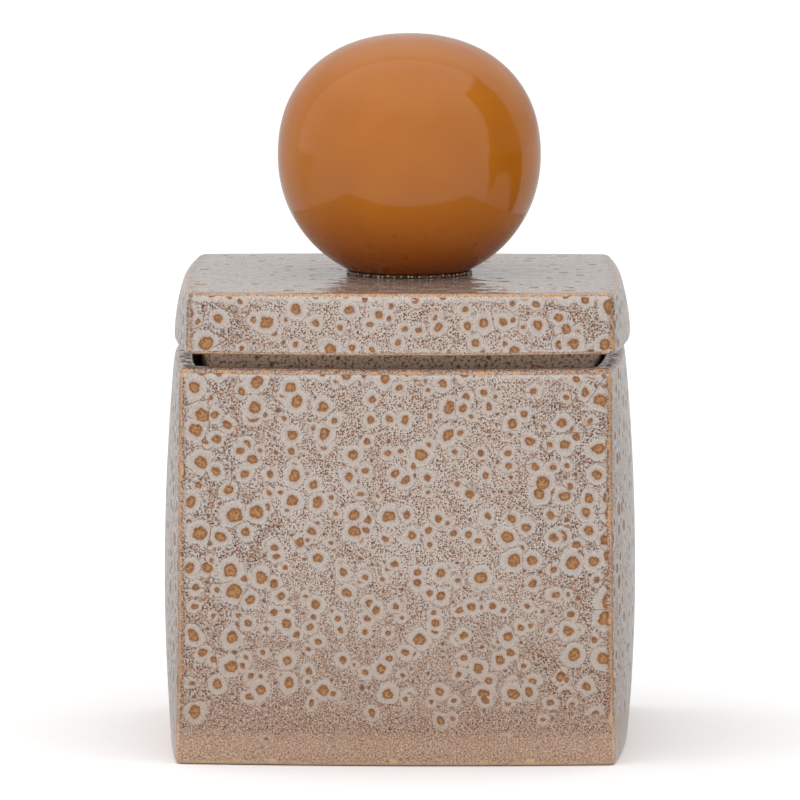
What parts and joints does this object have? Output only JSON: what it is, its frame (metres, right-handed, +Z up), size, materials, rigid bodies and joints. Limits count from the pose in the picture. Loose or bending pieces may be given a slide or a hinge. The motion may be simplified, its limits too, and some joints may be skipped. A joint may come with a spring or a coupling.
{
  "type": "storage jar",
  "caption": "Square glazed stoneware storage jar with bowed sides, and a thick lift-off lid that plugs into the mouth and carries a large ball knob.",
  "frame": {"origin": "on the standing surface, under the middle of the pot", "axes": "+Z up, out of the mouth; -Y towards the viewer of the picture; +X to the viewer's right"},
  "size_m": [0.13, 0.13, 0.1944],
  "materials": {
    "crater_glaze": "glossy reactive glaze, grey-beige with caramel craters, breaking to tan on the edges",
    "amber_glaze": "glossy plain amber glaze",
    "bond": "clear hard-set adhesive, squeezed out in a thin beaded line"
  },
  "bodies": {
    "jar": {"jar_body": "crater_glaze"},
    "lid": {"lid": "crater_glaze", "knob_bond": "bond", "knob": "amber_glaze"}
  },
  "joints": [
    {"name": "lid_lift", "type": "slide", "parent": "jar", "child": "lid", "axis": [0, 0, 1], "range_m": [0, 0.12]}
  ]
}
